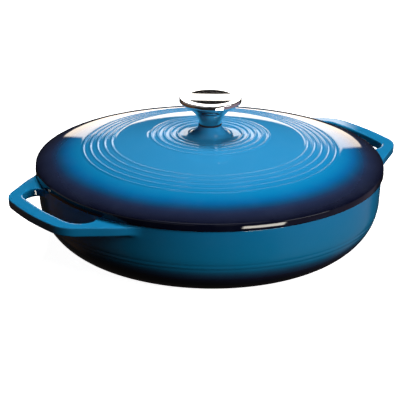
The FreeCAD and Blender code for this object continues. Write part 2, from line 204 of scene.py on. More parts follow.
class ShaderBench(Bench):
    """A new material, with the nodes that its finish needs."""

    def __init__(self, name: str) -> None:
        """Starts an empty material with its output node."""
        self.material = bpy.data.materials.new(name)
        super().__init__(self.material, "ShaderNodeOutputMaterial")

    def place(self) -> Wire:
        """The surface point in the piece's own coordinates, in metres."""
        return self.node("ShaderNodeTexCoord", {}, {}, "Object")

    def axes(self) -> tuple[Wire, Wire, Wire]:
        """The surface point's X, Y and Z, in metres."""
        outputs = self.node("ShaderNodeSeparateXYZ", {}, {0: self.place()}).socket.node.outputs
        return tuple(Wire(self, outputs[i]) for i in range(3))

    def radius(self) -> Wire:
        """Distance from the vertical axis, in metres."""
        x, y, _ = self.axes()
        return (x * x + y * y).root()

    def grain(self, size: float, detail: float = 2.0, roughness: float = 0.5) -> Wire:
        """Noise from 0 to 1 with features of about this size, in millimetres."""
        values = {"Vector": self.place(), "Scale": 1.0 / (size * MM), "Detail": detail}
        return self.node("ShaderNodeTexNoise", {}, {**values, "Roughness": roughness}, "Fac")

    def ramp(self, value: Wire, stops: Stops) -> Wire:
        """Colours along a value from 0 to 1."""
        return self.node("ShaderNodeValToRGB", {"stops": stops}, {0: value}, "Color")

    def mix(self, factor: Wire, first: Any, second: Any) -> Wire:
        """Blends two colours."""
        sockets = {0: factor, 6: self._rgba(first), 7: self._rgba(second)}
        return self.node("ShaderNodeMix", {"data_type": "RGBA"}, sockets, 2)

    @staticmethod
    def _rgba(colour: Any) -> Any:
        """A colour as a Mix node takes it."""
        return colour if isinstance(colour, Wire) else (*colour, 1.0)

    def bump(self, height: Wire) -> Wire:
        """A normal from a height in millimetres."""
        sockets = {"Height": height * MM, "Distance": 1.0}
        return self.node("ShaderNodeBump", {}, sockets, "Normal")

    def surface(self, **sockets: Any) -> bpy.types.Material:
        """Ends the material in one Principled shader.

        Args:
            **sockets: Its inputs, with an underscore for each space.

        Returns:
            The finished material.
        """
        named = {name.replace("_", " "): value for name, value in sockets.items()}
        shader = self.node("ShaderNodeBsdfPrincipled", {}, named)
        self.tree.links.new(shader.socket, self.output.inputs[0])
        return self.material


# ---- Finishes. Sizes and depths are in millimetres.


class Fade(Enum):
    """What the enamel's spray follows as it darkens."""

    OUTWARDS = "radius"
    DOWNWARDS = "height"


@dataclass(frozen=True)
class SprayedEnamel:
    """Gloss vitreous enamel whose colour was sprayed darker towards one edge.

    The stops are places along the fade, from the first to the last.
    """

    name: str
    fade: Fade
    stops: Stops
    drift: float = 1.5
    drift_size: float = 45.0
    speckle_share: float = 0.9
    speckle_size: float = 1.1
    cloud: float = 0.014
    cloud_size: float = 20.0
    cloud_tint: Colour = (0.35, 0.42, 0.62)
    ripple: float = 0.045
    ripple_size: float = 26.0
    peel: float = 0.004
    peel_size: float = 2.4
    pit: float = 0.006
    pit_size: float = 0.9
    gloss: float = 0.02
    dulling: float = 0.025
    dulling_size: float = 30.0
    index: float = 1.33

    def make(self) -> bpy.types.Material:
        """Builds the material, with a border of the spray that wanders a little.

        Returns:
            The material.
        """
        bench = ShaderBench(self.name)
        first, last = self.stops[0][0], self.stops[-1][0]
        along = bench.radius() if self.fade is Fade.OUTWARDS else bench.axes()[2]
        wander = (bench.grain(self.drift_size, detail=3.0) - 0.5) * (self.drift * 2 * MM)
        speckle = bench.grain(self.speckle_size, roughness=0.7) - 0.5
        speckle = speckle * (self.drift * self.speckle_share * MM)
        value = (along + wander + speckle - first * MM) / ((last - first) * MM)
        stops = tuple(((place - first) / (last - first), colour) for place, colour in self.stops)
        cloud = bench.grain(self.cloud_size, 4.0, 0.6).above(0.35, 0.5) * self.cloud
        colour = bench.mix(cloud, bench.ramp(value, stops), self.cloud_tint)
        swell = bench.grain(self.ripple_size, detail=1.0) * self.ripple
        skin = bench.grain(self.peel_size) * self.peel
        pits = bench.grain(self.pit_size, detail=1.0).above(0.74, 0.06) * -self.pit
        rough = self.gloss + bench.grain(self.dulling_size, detail=3.0) * self.dulling
        normal = bench.bump(swell + skin + pits)
        return bench.surface(Base_Color=colour, Roughness=rough, IOR=self.index, Normal=normal)


@dataclass(frozen=True)
class PlainEnamel:
    """Gloss enamel of one colour with fine dark specks, as inside the pot and under the lid."""

    name: str
    colour: Colour = (0.66, 0.6, 0.47)
    warmth: Colour = (0.95, 0.91, 0.84)
    tone_size: float = 35.0
    speck: Colour = (0.3, 0.24, 0.16)
    speck_size: float = 1.6
    speck_strength: float = 0.7
    ripple: float = 0.03
    ripple_size: float = 20.0
    peel: float = 0.004
    peel_size: float = 2.2
    gloss: float = 0.08
    dulling: float = 0.06
    dulling_size: float = 12.0
    index: float = 1.4

    def make(self) -> bpy.types.Material:
        """Builds the material.

        Returns:
            The material.
        """
        bench = ShaderBench(self.name)
        tone = bench.grain(self.tone_size, detail=4.0).above(0.3, 0.45)
        warm = tuple(shade * share for shade, share in zip(self.colour, self.warmth))
        base = bench.mix(tone, self.colour, warm)
        specks = bench.grain(self.speck_size, 1.0, 0.3).above(0.7, 0.05)
        base = bench.mix(specks * self.speck_strength, base, self.speck)
        swell = bench.grain(self.ripple_size, detail=1.0) * self.ripple
        normal = bench.bump(swell + bench.grain(self.peel_size) * self.peel)
        rough = self.gloss + bench.grain(self.dulling_size, detail=3.0) * self.dulling
        return bench.surface(Base_Color=base, Roughness=rough, IOR=self.index, Normal=normal)


@dataclass(frozen=True)
class GroundCoat:
    """The thin matt black coat on the rims, where the two castings meet."""

    name: str
    colour: Colour = (0.012, 0.012, 0.014)
    worn: Colour = (0.035, 0.035, 0.038)
    mottle_size: float = 3.5
    tooth: float = 0.05
    tooth_size: float = 1.3
    sheen: float = 0.42
    dulling: float = 0.3

    def make(self) -> bpy.types.Material:
        """Builds the material.

        Returns:
            The material.
        """
        bench = ShaderBench(self.name)
        mottle = bench.grain(self.mottle_size, 5.0, 0.7)
        base = bench.mix(mottle.above(0.45, 0.3), self.colour, self.worn)
        normal = bench.bump(bench.grain(self.tooth_size, 3.0, 0.65) * self.tooth)
        rough = self.sheen + mottle * self.dulling
        return bench.surface(Base_Color=base, Roughness=rough, Normal=normal)


@dataclass(frozen=True)
class TurnedMetal:
    """Metal with the fine rings that turning and polishing leave, and faint smudges."""

    name: str
    colour: Colour
    gloss: float
    ring: float
    depth: float
    smudge: float
    smudge_size: float = 9.0
    smudge_strength: float = 0.6
    smudge_shade: float = 0.82
    ring_dulling: float = 0.4

    def make(self) -> bpy.types.Material:
        """Builds the material.

        Returns:
            The material.
        """
        bench = ShaderBench(self.name)
        x, y, z = bench.axes()
        around = bench.node("ShaderNodeCombineXYZ", {}, {0: (x * x + y * y).root(), 1: z, 2: 0.0})
        values = {"Vector": around, "Scale": 1.0 / (self.ring * MM), "Detail": 3.0}
        rings = bench.node("ShaderNodeTexNoise", {}, values, "Fac")
        smear = bench.grain(self.smudge_size, 4.0, 0.6)
        darker = tuple(shade * self.smudge_shade for shade in self.colour)
        base = bench.mix(smear.above(0.5, 0.3) * self.smudge_strength, self.colour, darker)
        rough = self.gloss + smear.above(0.42, 0.4) * self.smudge
        rough = rough + rings * (self.gloss * self.ring_dulling)
        normal = bench.bump(rings * self.depth)
        return bench.surface(Base_Color=base, Metallic=1.0, Roughness=rough, Normal=normal)


@dataclass(frozen=True)
class MouldedRubber:
    """Matt black silicone rubber with a dusty bloom."""

    name: str = "silicone_rubber"
    colour: Colour = (0.012, 0.012, 0.013)
    dust: Colour = (0.03, 0.03, 0.031)
    bloom_size: float = 4.0
    tooth: float = 0.02
    tooth_size: float = 0.6
    sheen: float = 0.5
    dulling: float = 0.2

    def make(self) -> bpy.types.Material:
        """Builds the material.

        Returns:
            The material.
        """
        bench = ShaderBench(self.name)
        bloom = bench.grain(self.bloom_size, 4.0, 0.65).above(0.4, 0.4)
        base = bench.mix(bloom, self.colour, self.dust)
        normal = bench.bump(bench.grain(self.tooth_size) * self.tooth)
        rough = self.sheen + bloom * self.dulling
        return bench.surface(Base_Color=base, Roughness=rough, Normal=normal)


# Colours along the fades: bright blue, through a violet-tinged band, to near-black navy
LID_SPRAY: Stops = (
    (84.0, (0.026, 0.255, 0.515)),
    (100.0, (0.012, 0.230, 0.490)),
    (113.0, (0.003, 0.200, 0.435)),
    (119.0, (0.0015, 0.160, 0.385)),
    (124.5, (0.0015, 0.104, 0.285)),
    (129.0, (0.004, 0.066, 0.170)),
    (133.0, (0.010, 0.034, 0.094)),
    (137.0, (0.013, 0.021, 0.056)),
    (144.0, (0.009, 0.012, 0.031)),
    (149.0, (0.003, 0.004, 0.014)),
)
POT_SPRAY: Stops = (
    (4.0, (0.0015, 0.0015, 0.004)),
    (14.0, (0.003, 0.0035, 0.010)),
    (20.0, (0.011, 0.013, 0.034)),
    (25.0, (0.014, 0.060, 0.125)),
    (30.0, (0.006, 0.155, 0.300)),
    (37.0, (0.005, 0.190, 0.370)),
    (48.0, (0.006, 0.195, 0.390)),
    (66.0, (0.007, 0.200, 0.420)),
)


# ---- Modelling moves


class Workpiece:
    """One new mesh, shaped in edit mode. All its places are in millimetres."""

    def __init__(self, name: str, start: Sequence[float]) -> None:
        """Starts the piece as a single point.

        Args:
            name: The piece's name.
            start: Where the point stands.
        """
        bpy.ops.object.select_all(action="DESELECT")
        where = Vector(start) * MM
        bpy.ops.mesh.primitive_plane_add(size=MM, location=where)
        self.piece = bpy.context.active_object
        self.piece.name = self.piece.data.name = name
        bpy.ops.object.transform_apply(location=True, rotation=True, scale=True)
        bpy.ops.object.mode_set(mode="EDIT")
        bpy.ops.mesh.select_mode(type="VERT")
        bpy.ops.mesh.select_all(action="SELECT")
        bpy.ops.mesh.merge(type="CENTER")

    def _cage(self) -> bmesh.types.BMesh:
        """Reads the mesh as it stands in edit mode.

        Returns:
            The mesh, with its tables ready.
        """
        cage = bmesh.from_edit_mesh(self.piece.data)
        cage.verts.ensure_lookup_table()
        cage.faces.ensure_lookup_table()
        return cage

    def _choose(self, kind: str, numbers: Iterable[int]) -> None:
        """Selects these elements and nothing else.

        Args:
            kind: The select mode, "VERT" or "FACE".
            numbers: The elements' numbers.
        """
        bpy.ops.mesh.select_mode(type=kind)
        bpy.ops.mesh.select_all(action="DESELECT")
        cage = self._cage()
        elements = cage.verts if kind == "VERT" else cage.faces
        for number in numbers:
            elements[number].select_set(True)
        cage.select_flush_mode()
        bmesh.update_edit_mesh(self.piece.data)

    def trace(self, places: Iterable[Sequence[float]]) -> None:
        """Draws on from the selected point.

        Args:
            places: The corners, one extrusion to each.
        """
        last = next(v.co.copy() for v in self._cage().verts if v.select)
        for place in places:
            target = Vector(place) * MM
            bpy.ops.mesh.extrude_vertices_move(TRANSFORM_OT_translate={"value": target - last})
            last = target

    def close_up(self) -> None:
        """Points every face outwards."""
        bpy.ops.mesh.select_all(action="SELECT")
        bpy.ops.mesh.normals_make_consistent(inside=False)

    def lathe(self, steps: int, turn: float = 360.0) -> None:
        """Spins everything drawn so far round the vertical axis and closes its seam and poles.

        Args:
            steps: How many steps the spin takes.
            turn: How far it goes, in degrees.
        """
        bpy.ops.mesh.select_all(action="SELECT")
        bpy.ops.mesh.spin(
            steps=steps, angle=-math.radians(turn), center=(0.0, 0.0, 0.0), axis=(0.0, 0.0, 1.0)
        )
        bpy.ops.mesh.select_all(action="SELECT")
        bpy.ops.mesh.remove_doubles(threshold=MERGE)
        self.close_up()

    def choose_faces(self, wanted: Test) -> None:
        """Selects the faces whose centre, in millimetres, passes a test."""
        faces = self._cage().faces
        self._choose("FACE", [f.index for f in faces if wanted(f.calc_center_median() / MM)])

    def draw_out(self, columns: list[Point], targets: list[Point]) -> None:
        """Extrudes the chosen faces and moves each upright column of the new end to its new place.

        Args:
            columns: Where the columns stand in plan now.
            targets: Where they go.
        """
        bpy.ops.mesh.extrude_region_move(TRANSFORM_OT_translate={"value": (0.0, 0.0, 0.0)})
        cage = self._cage()
        end = [face.index for face in cage.faces if face.select]
        corners = {v.index: v.co / MM for i in end for v in cage.faces[i].verts}
        groups: list[list[int]] = [[] for _ in columns]
        for index, place in corners.items():
            gaps = [math.dist(place.xy, column) for column in columns]
            groups[gaps.index(min(gaps))].append(index)
        for group, old, new in zip(groups, columns, targets):
            self._choose("VERT", group)
            move = ((new[0] - old[0]) * MM, (new[1] - old[1]) * MM, 0.0)
            bpy.ops.transform.translate(value=move)
        self._choose("FACE", end)

    def finish_shape(self, smooth_angle: float) -> bpy.types.Object:
        """Leaves edit mode with the faces outwards and the shading smooth.

        Args:
            smooth_angle: The sharpest fold that is shaded smooth, in degrees.

        Returns:
            The piece.
        """
        self.close_up()
        bpy.ops.object.mode_set(mode="OBJECT")
        bpy.ops.object.shade_smooth_by_angle(angle=math.radians(smooth_angle))
        return self.piece

    def apply(self, kind: str, **settings: Any) -> None:
        """Adds a modifier and applies it.

        Args:
            kind: The modifier's type.
            **settings: Its settings.
        """
        bpy.ops.object.mode_set(mode="OBJECT")
        modifier = self.piece.modifiers.new(kind.lower(), kind)
        for name, value in settings.items():
            setattr(modifier, name, value)
        bpy.ops.object.modifier_apply(modifier=modifier.name)
        bpy.ops.object.mode_set(mode="EDIT")

    def coat(self, finishes: Sequence[tuple[bpy.types.Material, Test | None]]) -> None:
        """Gives the piece its materials.

        Args:
            finishes: The material all over, and then each further one with the test for its faces.
        """
        for number, (material, wanted) in enumerate(finishes):
            self.piece.data.materials.append(material)
            if wanted is not None:
                self.choose_faces(wanted)
                self.piece.active_material_index = number
                bpy.ops.object.material_slot_assign()


def on_circle(centre: Point, radius: float, angle: float) -> Point:
    """The point on a circle at an angle in degrees from the first axis."""
    turn = math.radians(angle)
    return (centre[0] + radius * math.cos(turn), centre[1] + radius * math.sin(turn))


def arc(centre: Point, radius: float, start: float, end: float, steps: int) -> list[Point]:
    """Points on an arc, its ends included, by angles in degrees from the first axis."""
    return [on_circle(centre, radius, start + (end - start) * i / steps) for i in range(steps + 1)]


def upright(profile: Iterable[Point]) -> list[tuple[float, float, float]]:
    """A profile of radii and heights, stood up on the X axis."""
    return [(radius, 0.0, height) for radius, height in profile]


def reach(place: Vector) -> float:
    """Distance of a place from the vertical axis."""
    return math.hypot(place.x, place.y)


# ---- The pot


@dataclass
class Pot:
    """The bowl and its two loop handles, one casting, enamelled inside and out.

    A quarter is modelled as a coarse cage and mirrored twice; subdivision gives the castings'
    soft corners and the blends where the loops grow out of the bowl. Each "hold" is a distance
    at which a loop of the cage keeps a corner from softening further.
    """

    height: float = 66.0
    rim_radius: float = 148.5
    wall: float = 4.2
    floor: float = 4.8
    draft: float = 3.0
    corner: float = 45.0
    corner_centre: float = 102.44
    corner_angles: tuple[float, ...] = (0.0, 14.0, 28.0, 42.0, 54.0, 63.0, 83.0, 87.0)
    base_land: float = 14.0
    recess: float = 0.8
    recess_middle: float = 60.0
    land_holds: tuple[float, ...] = (0.9, 3.0, 8.0)
    side_hold: float = 50.0
    rim_hold: float = 0.9
    rim_drop: float = 0.75
    rim_ease: float = 0.02
    inside_rim_drop: float = 0.8
    inside_holds: tuple[float, ...] = (62.0, 54.0)
    floor_hold: float = 9.0
    floor_middle: float = 50.0
    hollow_steps: int = 7
    line_angles: tuple[float, ...] = (71.6, 77.0)
    line_depth: float = 0.24
    line_half_width: float = 0.5
    line_shoulder: float = 2.1
    quarter_steps: int = 24
    loop_rows: tuple[float, ...] = (56.8, 58.7, 62.5, 64.4)
    root_columns: tuple[int, ...] = (4, 5, 6, 7, 8)
    bar_shares: tuple[float, ...] = (0.0, 0.15, 0.5, 0.85, 1.0)
    # places in plan on the finger side and the outer side, from the root to the middle
    loop_path: tuple[tuple[Point, Point], ...] = (
        ((144.9, 41.7), (140.5, 68.5)),
        ((148.9, 45.1), (150.4, 61.7)),
        ((157.3, 44.4), (161.1, 54.3)),
        ((162.4, 41.2), (169.6, 49.2)),
        ((165.7, 36.8), (175.9, 43.4)),
        ((167.3, 32.3), (179.9, 35.4)),
        ((168.0, 22.9), (180.8, 29.0)),
        ((169.0, 11.8), (182.3, 14.9)),
        ((169.3, 0.0), (182.8, 0.0)),
    )

    def wall_radius(self, height: float) -> float:
        """Outside radius of the drafted wall at a height."""
        return self.rim_radius - (self.height - height) * math.tan(math.radians(self.draft))

    def _lined_corner(self) -> list[Point]:
        """Draws the large outside corner from the base up to the wall, with the two fine lines.

        Returns:
            Its points of radius and height.
        """
        centre = (self.corner_centre, self.corner)
        depths = {angle: 0.0 for angle in self.corner_angles}
        for line in self.line_angles:
            for side in (-1.0, 1.0):
                depths[line + side * self.line_shoulder] = 0.0
                depths[line + side * self.line_half_width] = self.line_depth
        return [on_circle(centre, self.corner - depths[a], a - 90) for a in sorted(depths)]

    def profile(self) -> list[Point]:
        """Draws the cage's section, from the middle of the base out, up and back inside.

        Returns:
            Its points of radius and height.
        """
        across = self.wall / math.cos(math.radians(self.draft))
        top, rim = self.height, self.wall_radius(self.height)
        low, land = self.recess, self.corner_centre - self.base_land
        base = [(0.0, low), (self.recess_middle, low), (land - low, low)]
        base += [(land + hold, 0.0) for hold in self.land_holds]
        side = [(self.wall_radius(z), z) for z in (self.side_hold, *self.loop_rows)]
        edge = [(rim - self.rim_ease, top - self.rim_drop), (rim, top - self.rim_ease)]
        edge += [(rim - self.rim_hold, top), (rim - across + self.rim_hold, top)]
        edge += [(rim - across, top - self.rim_ease), (rim - across, top - self.inside_rim_drop)]
        inside = [(self.wall_radius(z) - across, z) for z in self.inside_holds]
        hollow = self.corner - self.wall
        centre = (self.corner_centre, self.floor + hollow)
        inside += arc(centre, hollow, -self.draft, -90.0, self.hollow_steps)
        inside += [(self.corner_centre - self.floor_hold, self.floor)]
        inside += [(self.floor_middle, self.floor), (0.0, self.floor)]
        return base + self._lined_corner() + side + edge + inside

    def _grow_loop(self, work: Workpiece) -> None:
        """Draws a quarter of the casting's handles out of the wall: half of one loop.

        Args:
            work: The quarter casting.
        """
        step = 90.0 / self.quarter_steps
        low, high = self.loop_rows[0], self.loop_rows[-1]
        first, last = self.root_columns[0] * step, self.root_columns[-1] * step
        skin = self.rim_radius - self.wall / 2

        def in_root(centre: Vector) -> bool:
            """Whether a face of the wall lies where the loop grows out of it."""
            angle = math.degrees(math.atan2(centre.y, centre.x))
            return first < angle < last and low < centre.z < high and reach(centre) > skin

        work.choose_faces(in_root)
        middle = self.wall_radius((low + high) / 2)
        columns = [on_circle((0.0, 0.0), middle, step * column) for column in self.root_columns]
        for finger, outer in self.loop_path:
            pairs = tuple(zip(finger, outer))
            targets = [tuple(f + (o - f) * share for f, o in pairs) for share in self.bar_shares]
            work.draw_out(columns, targets)
            columns = targets
        bpy.ops.mesh.delete(type="FACE")

    def is_inside(self, centre: Vector) -> bool:
        """Tells whether a face belongs to the cooking surface.

        Args:
            centre: The face's centre.

        Returns:
            Whether it lies past the middle of the wall.
        """
        skin = self.wall * 0.6
        if centre.z > self.corner:
            return reach(centre) < self.wall_radius(centre.z) - skin
        across = max(reach(centre) - self.corner_centre, 0.0)
        return math.hypot(across, self.corner - centre.z) < self.corner - skin

    def is_rim(self, centre: Vector) -> bool:
        """Whether a face belongs to the land that the lid rests on."""
        inner, outer = self.rim_radius - self.wall - 1.0, self.rim_radius - 0.25
        return centre.z > self.height - self.rim_drop and inner < reach(centre) < outer

    def build(self) -> bpy.types.Object:
        """Models the casting, dresses it and sets it on its body.

        Returns:
            The casting.
        """
        profile = upright(self.profile())
        work = Workpiece("pot_casting", profile[0])
        work.trace(profile[1:])
        work.lathe(self.quarter_steps, 90.0)
        self._grow_loop(work)
        work.close_up()
        work.apply("MIRROR", use_axis=(True, True, False), use_clip=True, merge_threshold=1e-5)
        work.apply("SUBSURF", levels=2, render_levels=2)
        outside = SprayedEnamel("pot_enamel", Fade.DOWNWARDS, POT_SPRAY).make()
        cooking = PlainEnamel("cooking_enamel").make()
        coat = GroundCoat("ground_coat").make()
        work.coat(((outside, None), (cooking, self.is_inside), (coat, self.is_rim)))
        piece = work.finish_shape(60.0)
        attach(piece, Body.POT.value)
        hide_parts("pot", "handle_right", "handle_left")
        return piece


# ---- The lid


@dataclass
class Lid:
    """The domed lid casting with its boss, locating lip and two groups of raised rings.

    The crown is flat in its middle, then falls over a shoulder into one large arc to the edge.
    """

    seat: float = 66.0
    radius: float = 150.0
    edge: float = 6.7
    edge_round: float = 1.8
    edge_steps: int = 6
    edge_foot: float = 3.0
    edge_lean: float = 0.16
    edge_roll: float = 0.0022
    roll_from: float = 136.0
    wall: float = 3.8
    plateau: float = 36.0
    shoulder: float = 110.0
    shoulder_slope: float = 8.5
    dome: float = 690.0
    boss_radius: float = 9.6
    boss_height: float = 8.6
    boss_flare: float = 11.5
    boss_steps: int = 14
    hole: float = 3.0
    hole_hold: float = 0.6
    boss_hold: float = 0.5
    lip_outer: float = 143.238
    lip_width: float = 3.6
    lip_depth: float = 5.0
    lip_round: float = 1.0
    lip_steps: int = 4
    lip_root: float = 0.4
    lip_fillet: float = 2.5
    rings: tuple[float, ...] = (27.9, 33.55, 39.2, 44.85, 50.5, 84.6, 90.7, 96.8, 102.9, 109.0)
    ring_height: float = 0.45
    ring_half_width: float = 1.5
    ring_pool: float = 0.06
    ring_step: float = 0.4
    ring_reach: float = 2.1
    rings_end: float = 114.0
    # the smooth stretches' points: first radius, step and count
    smooth_runs: tuple[tuple[float, float, int], ...] = (
        (56.0, 4.0, 7), (115.0, 4.0, 6), (136.0, 1.5, 8)
    )
    under_radii: tuple[float, ...] = (
        138.0, 135.0, *(130.0 - 6.0 * i for i in range(17)), 31.0, 20.0, 8.0
    )
    steps_round: int = 192

    def __post_init__(self) -> None:
        """Works out where the large arc and the crown lie."""
        slope = math.radians(self.shoulder_slope)
        self.dome_r = self.plateau - (self.dome - self.shoulder) * math.sin(slope)
        self.dome_z = self.edge - math.sqrt(self.dome**2 - (self.radius - self.dome_r) ** 2)
        self.crown = self.dome_z + self.dome * math.cos(slope)
        self.crown += self.shoulder * (1 - math.cos(slope))

    def roll(self, radius: float) -> float:
        """How far the top turns down towards the lid's edge."""
        return self.edge_roll * max(radius - self.roll_from, 0.0) ** 2

    def plain_height(self, radius: float, inset: float = 0.0) -> float:
        """Works out the smooth lid's height above the seat.

        Args:
            radius: Distance from the axis.
            inset: How far below the top the surface runs.

        Returns:
            The height.
        """
        if radius <= self.plateau:
            return self.crown - inset
        shoulder, past = self.shoulder - inset, radius - self.plateau
        if past <= shoulder * math.sin(math.radians(self.shoulder_slope)):
            return self.crown - self.shoulder + math.sqrt(shoulder**2 - past**2)
        return self.dome_z + math.sqrt((self.dome - inset) ** 2 - (radius - self.dome_r) ** 2)

    def ringed_height(self, radius: float) -> float:
        """Works out the top's height with the raised rings and the shallow pools between them.

        Args:
            radius: Distance from the axis.

        Returns:
            The height above the seat.
        """
        height = self.plain_height(radius) - self.roll(radius)
        for ring in self.rings:
            away = abs(radius - ring) / self.ring_half_width
            if away < 1.0:
                height += self.ring_height * (0.5 + 0.5 * math.cos(math.pi * away))
            elif away < 2.0:
                height -= self.ring_pool * math.sin(math.pi * (away - 1.0)) ** 2
        return height

    def _top(self) -> list[Point]:
        """Draws the top from the hole out over the boss and the rings.

        Returns:
            Its points of radius and height.
        """
        top = self.crown + self.boss_height
        turn = math.degrees(math.asin((self.boss_flare - self.boss_height) / self.boss_flare))
        flare_r = self.boss_radius + self.boss_flare * math.cos(math.radians(turn))
        points = [(self.hole, top), (self.hole + self.hole_hold, top)]
        points += [(self.boss_radius - self.boss_hold, top)]
        centre = (flare_r, self.crown + self.boss_flare)
        points += arc(centre, self.boss_flare, 180 + turn, 270, self.boss_steps)
        count = int(self.radius / self.ring_step)
        fine = [flare_r + 1.0 + self.ring_step * i for i in range(1, count)]
        near = self.ring_reach * self.ring_half_width
        radii = {r for r in fine if min(abs(r - ring) for ring in self.rings) < near}
        radii = {r for r in radii if r < self.rings_end}
        for start, step, number in self.smooth_runs:
            radii |= {start + step * i for i in range(number)}
        return points + [(radius, self.ringed_height(radius)) for radius in sorted(radii)]

    def _edge(self) -> list[Point]:
        """Draws the rounded edge and the lid's side, down to the seat.

        Returns:
            Its points of radius and height.
        """
        inner = self.radius - self.edge_round - self.edge_lean
        rolled = 2 * self.edge_roll * (inner - self.roll_from)
        slope = math.degrees(math.asin((self.radius - self.dome_r) / self.dome + rolled))
        level = self.ringed_height(inner) - self.edge_round / math.cos(math.radians(slope))
        points = arc((inner, level), self.edge_round, 90 - slope, self.edge_foot, self.edge_steps)
        foot = (self.radius - self.lip_round, self.lip_round)
        return points + arc(foot, self.lip_round, 0, -90, self.lip_steps)

    def _underside(self) -> list[Point]:
        """Draws the seat, the locating lip and the underside, back to the hole.

        Returns:
            Its points of radius and height.
        """
        turn, low = self.lip_round, -self.lip_depth
        inner = self.lip_outer - self.lip_width
        points = [(self.lip_outer + self.lip_root, 0.0), (self.lip_outer, -self.lip_root)]
        points += arc((self.lip_outer - turn, low + turn), turn, 0, -90, self.lip_steps)
        points += arc((inner + turn, low + turn), turn, -90, -180, self.lip_steps)
        points += [(inner, self.plain_height(inner, self.wall) - self.lip_fillet)]
        radii = (inner - 0.01, *self.under_radii)
        points += [(radius, self.plain_height(radius, self.wall)) for radius in radii]
        return points + [(self.hole, self.crown - self.wall)]

    def profile(self) -> list[Point]:
        """The lid's closed section, drawn from the hole's top outwards and back underneath."""
        points = self._top() + self._edge() + self._underside()
        return [(radius, height + self.seat) for radius, height in points]

    def is_under(self, centre: Vector) -> bool:
        """Whether a face belongs to the underside inside the locating lip."""
        height = self.plain_height(min(reach(centre), self.radius), self.wall * 0.5)
        return reach(centre) <= self.lip_outer + 0.2 and centre.z < self.seat + height

    def is_seat(self, centre: Vector) -> bool:
        """Whether a face belongs to the ring that rests on the pot, or to the lip's outside."""
        inner, outer = self.lip_outer - 0.3, self.radius - 0.35
        return inner < reach(centre) < outer and centre.z < self.seat + 0.25

    def build(self) -> bpy.types.Object:
        """Models the lid, dresses it and sets it on its body.

        Returns:
            The lid.
        """
        profile = upright(self.profile())
        work = Workpiece("lid_casting", profile[0])
        work.trace([*profile[1:], profile[0]])
        work.lathe(self.steps_round)
        outside = SprayedEnamel("lid_enamel", Fade.OUTWARDS, LID_SPRAY).make()
        cooking = PlainEnamel("lid_lining").make()
        coat = GroundCoat("lid_seat").make()
        work.coat(((outside, None), (cooking, self.is_under), (coat, self.is_seat)))
        piece = work.finish_shape(50.0)
        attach(piece, Body.LID.value)
        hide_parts("lid")
        return piece


@dataclass
class Knob:
    """The turned knob: trumpet stem and a thin disc with a shallow polished dish."""

    base: float = 105.4686
    bore: float = 2.55
    bore_depth: float = 11.0
    bore_hold: float = 0.5
    stem_radius: float = 9.4
    stem_height: float = 0.6
    stem_hold: float = 0.4
    stem_foot: float = 0.15
    taper: float = 9.0
    flare: float = 19.0
    flare_steps: int = 18
    under_slope: float = 34.0
    under_hold: float = 3.0
    disc_radius: float = 26.6
    disc_edge: float = 4.2
    edge_round: float = 1.0
    edge_squeeze: float = 0.75
    edge_steps: tuple[int, int] = (5, 6)
    border: float = 5.6
    # the border's points: how far out from the dish, and how far below the top
    border_points: tuple[Point, ...] = ((5.0, 0.0), (1.0, 0.004), (0.3, 0.02))
    dish_depth: float = 0.5
    dish_shares: tuple[float, ...] = (
        0.995, 0.96, 0.9, 0.82, 0.72, 0.6, 0.48, 0.36, 0.24, 0.12, 0.05
    )
    steps_round: int = 128

    def _dish(self, top: float) -> list[Point]:
        """Draws the flat border and the dish, in to the axis.

        Args:
            top: The border's height above the knob's base.

        Returns:
            Its points of radius and height.
        """
        dish, deepest = self.disc_radius - self.border, top - self.dish_depth
        bow = (dish**2 + self.dish_depth**2) / (2 * self.dish_depth)
        points = [(dish + out, top - down) for out, down in self.border_points]
        for radius in (dish * share for share in self.dish_shares):
            points.append((radius, deepest + bow - math.sqrt(bow**2 - radius**2)))
        return [*points, (0.0, deepest)]

    def profile(self) -> list[Point]:
        """Draws the knob's section, from the blind bore's end out over the stem to the dish.

        Returns:
            Its points of radius and height.
        """
        taper, slope = math.radians(self.taper), math.tan(math.radians(self.under_slope))
        neck = self.stem_radius + self.stem_height * math.tan(taper)
        flare_r = neck + self.flare * math.cos(taper)
        centre = (flare_r, self.stem_height - self.flare * math.sin(taper))
        flare = arc(centre, self.flare, 180 - self.taper, 90 + self.under_slope, self.flare_steps)
        last_r, last_z = flare[-1]
        edge = last_z + (self.disc_radius - last_r) * slope
        turn, top = self.edge_round, edge + self.disc_edge
        points = [(0.0, self.bore_depth), (self.bore, self.bore_depth), (self.bore, 0.0)]
        points += [(self.bore + self.bore_hold, 0.0), (self.stem_radius - self.stem_hold, 0.0)]
        points += [(self.stem_radius, self.stem_foot), *flare]
        points += [(last_r + self.under_hold, last_z + self.under_hold * slope)]
        rim, (lower, upper) = self.disc_radius - turn, self.edge_steps
        points += arc((rim, edge + turn * self.edge_squeeze), turn, self.under_slope - 90, 0, lower)
        points += arc((rim, top - turn), turn, 0, 90, upper)
        return [(radius, height + self.base) for radius, height in points + self._dish(top)]

    def build(self) -> bpy.types.Object:
        """Models the knob, dresses it and sets it on the lid's body.

        Returns:
            The knob.
        """
        profile = upright(self.profile())
        work = Workpiece("turned_knob", profile[0])
        work.trace(profile[1:])
        work.lathe(self.steps_round)
        polish = TurnedMetal(
            "polished_metal", (0.82, 0.81, 0.79), gloss=0.03, ring=0.3, depth=0.0001, smudge=0.015
        )
        work.coat(((polish.make(), None),))
        piece = work.finish_shape(40.0)
        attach(piece, Body.LID.value)
        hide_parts("knob")
        return piece


